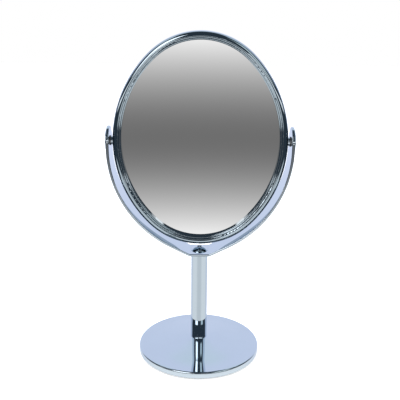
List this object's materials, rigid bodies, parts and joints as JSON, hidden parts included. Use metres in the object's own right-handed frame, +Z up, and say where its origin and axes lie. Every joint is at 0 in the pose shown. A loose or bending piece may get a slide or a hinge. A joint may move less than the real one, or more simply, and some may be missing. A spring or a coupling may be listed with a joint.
{
  "type": "countertop mirror",
  "caption": "Oval two-sided countertop mirror in a chromed rim that tilts over in a sprung U-shaped yoke, on a tubular post and a round weighted base",
  "frame": {"origin": "centre of the underside of the base, on the surface that the mirror stands on", "axes": "+Z up; -Y is the front, the side that the plane mirror faces; X runs along the tilt axis"},
  "size_m": [0.174, 0.1196, 0.3134],
  "materials": {
    "base_cover": "polished",
    "base_weight": "as cast",
    "base_pad": "matt",
    "base_washer": "zinc plated",
    "base_lock_washer": "zinc plated",
    "base_screw": "zinc plated",
    "post_tube": "polished",
    "post_lower_plug": "turned",
    "post_upper_plug": "turned",
    "hub_washer": "polished",
    "yoke_strap": "polished",
    "yoke_screw": "polished",
    "front_rim": "polished",
    "rear_rim": "polished",
    "core_frame": "moulded",
    "plane_mirror": "silvered glass",
    "backing_sheet": "foam",
    "magnifying_mirror": "silvered glass",
    "pivot_block_left": "machined",
    "pivot_screw_left": "polished",
    "pivot_bush_left": "nylon",
    "pivot_washer_left": "spring steel",
    "pivot_block_right": "machined",
    "pivot_screw_right": "polished",
    "pivot_bush_right": "nylon",
    "pivot_washer_right": "spring steel"
  },
  "bodies": {
    "stand": {"base_cover": "base_cover", "base_weight": "base_weight", "base_pad": "base_pad", "base_washer": "base_washer", "base_lock_washer": "base_lock_washer", "base_screw": "base_screw", "post_tube": "post_tube", "post_lower_plug": "post_lower_plug", "post_upper_plug": "post_upper_plug", "hub_washer": "hub_washer", "yoke_strap": "yoke_strap", "yoke_screw": "yoke_screw", "pivot_bush_left": "pivot_bush_left", "pivot_washer_left": "pivot_washer_left", "pivot_bush_right": "pivot_bush_right", "pivot_washer_right": "pivot_washer_right"},
    "mirror_head": {"front_rim": "front_rim", "rear_rim": "rear_rim", "core_frame": "core_frame", "plane_mirror": "plane_mirror", "backing_sheet": "backing_sheet", "magnifying_mirror": "magnifying_mirror", "pivot_block_left": "pivot_block_left", "pivot_block_right": "pivot_block_right", "pivot_screw_left": "pivot_screw_left", "pivot_screw_right": "pivot_screw_right"}
  },
  "joints": [
    {"name": "head_tilt", "type": "hinge", "parent": "stand", "child": "mirror_head", "pos_m": [0, 0, 0.2143], "axis": [1, 0, 0], "continuous": true}
  ]
}
